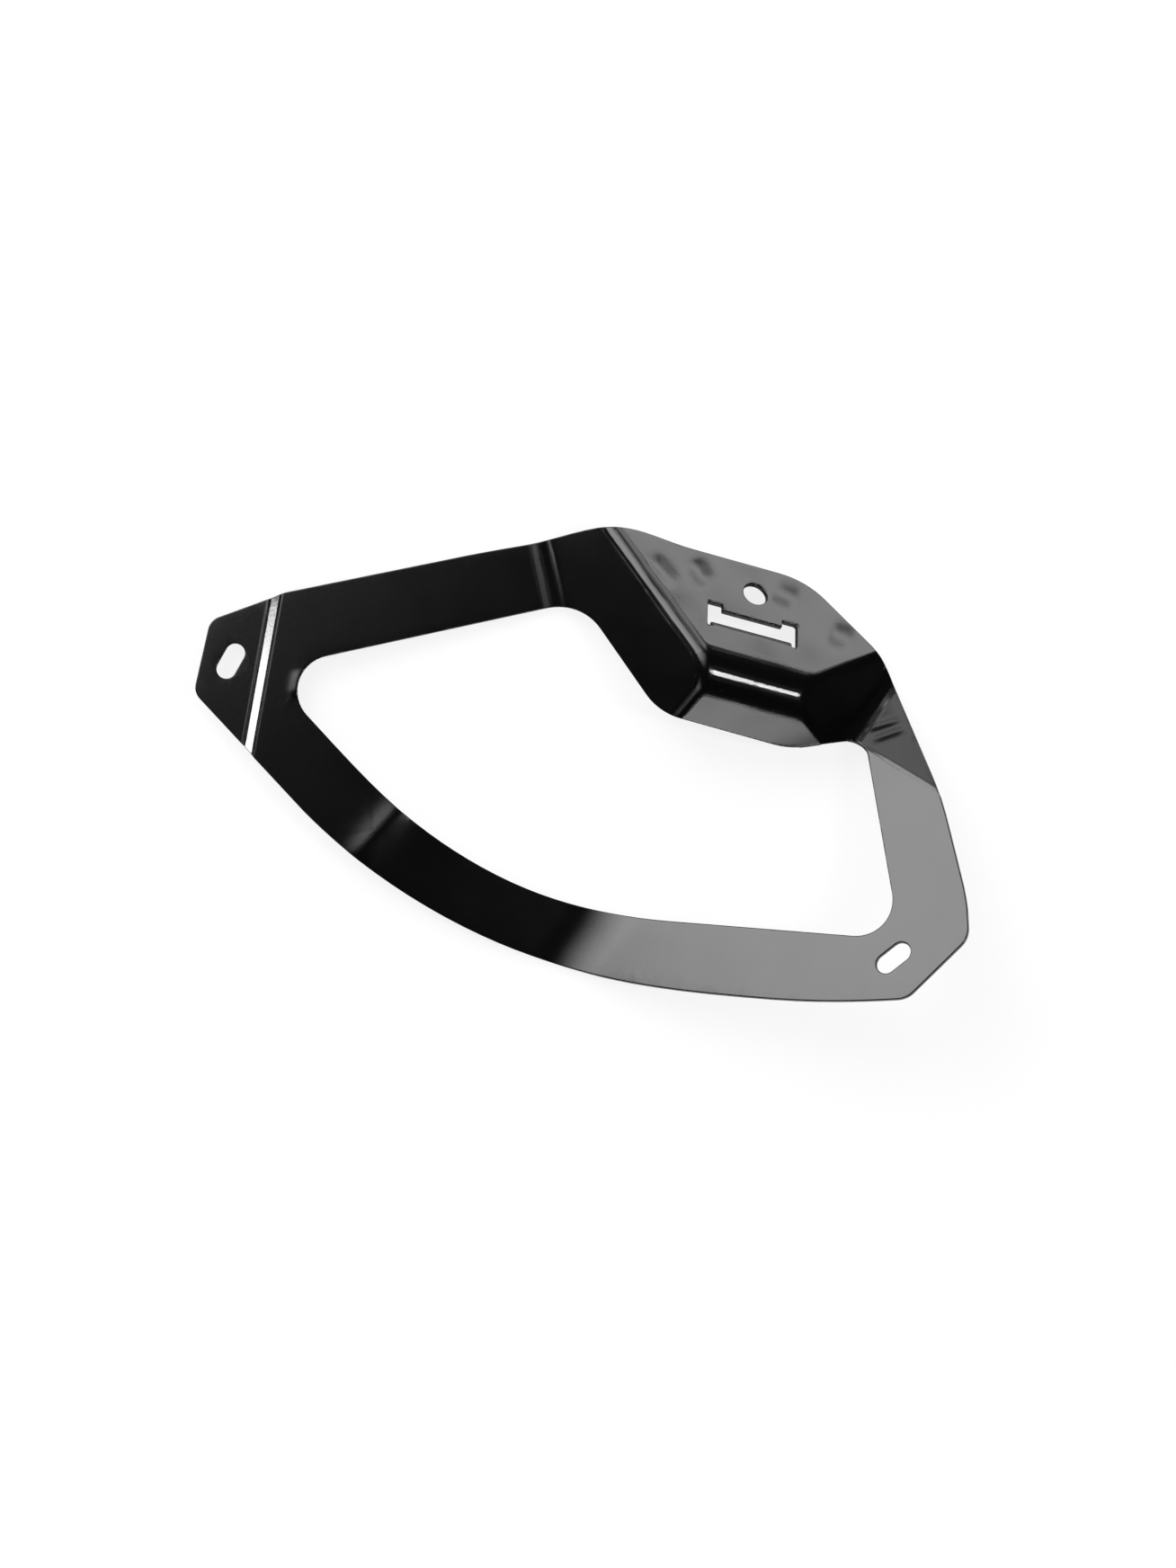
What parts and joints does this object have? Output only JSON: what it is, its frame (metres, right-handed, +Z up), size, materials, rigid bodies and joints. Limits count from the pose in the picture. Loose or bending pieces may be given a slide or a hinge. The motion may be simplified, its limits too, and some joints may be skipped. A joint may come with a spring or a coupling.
{
  "type": "front fender bracket",
  "caption": "Stamped sheet-metal fender bracket: a bowed frame round a large window, with an offset slotted ear, a pressed hump with a holed tab, and a slotted foot plate.",
  "frame": {"origin": "on the table plane, under the middle of the bracket's bounding box, as it lies on its back with the front face up", "axes": "+X along the lower band toward the slotted foot plate, +Y from the band toward the tab with the round hole, +Z up out of the front face"},
  "size_m": [0.2722, 0.1674, 0.0505],
  "materials": {
    "black_paint": "smooth gloss black paint over pressed steel, slight orange peel, thin at the punched edges"
  },
  "bodies": {
    "root": {"fender_bracket": "black_paint"}
  },
  "joints": []
}
